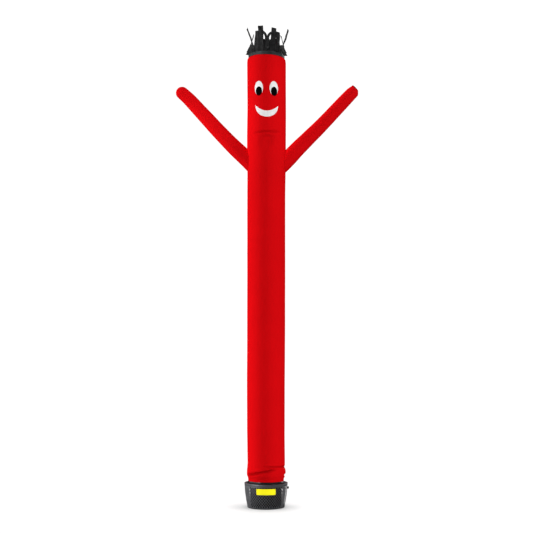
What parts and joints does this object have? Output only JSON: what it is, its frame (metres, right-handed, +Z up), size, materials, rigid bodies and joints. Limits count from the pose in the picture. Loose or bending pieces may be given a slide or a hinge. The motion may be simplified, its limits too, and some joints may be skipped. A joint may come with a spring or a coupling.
{
  "type": "inflatable air dancer with fan blower",
  "caption": "Tall inflatable cloth tube figure with raised arms, a fringe of hair strips and a smiling face, fitted over the outlet of the round fan blower it stands on.",
  "frame": {"origin": "middle of the blower's foot, on the ground", "axes": "+Z up along the tube; the face looks along -Y; +X is on the right of someone who looks at the face"},
  "size_m": [2.3102, 0.535, 6.0529],
  "materials": {
    "red_ripstop": "light coated ripstop weave, soft sheen",
    "black_ripstop": "light coated ripstop weave, soft sheen",
    "white_cloth": "matt woven patch cloth",
    "black_cloth": "matt woven patch cloth",
    "coated_steel": "dark grey powder coat, satin",
    "dark_steel": "black powder coat, matt",
    "black_rubber": "matt",
    "yellow_plate": "yellow enamel, satin, blank"
  },
  "bodies": {
    "root": {"body_tube": "red_ripstop", "shoulder_panel": "red_ripstop", "head_panel": "red_ripstop", "arm_left": "red_ripstop", "arm_right": "red_ripstop", "hair_fringe": "black_ripstop", "eye_left": "white_cloth", "eye_right": "white_cloth", "pupil_left": "black_cloth", "pupil_right": "black_cloth", "mouth": "white_cloth", "blower_base": "dark_steel", "blower_guard": "coated_steel", "blower_deck": "coated_steel", "outlet_ring": "dark_steel", "fan_drum": "dark_steel", "guard_knob": "black_rubber", "cord_gland": "black_rubber", "blank_plate": "yellow_plate"}
  },
  "joints": []
}
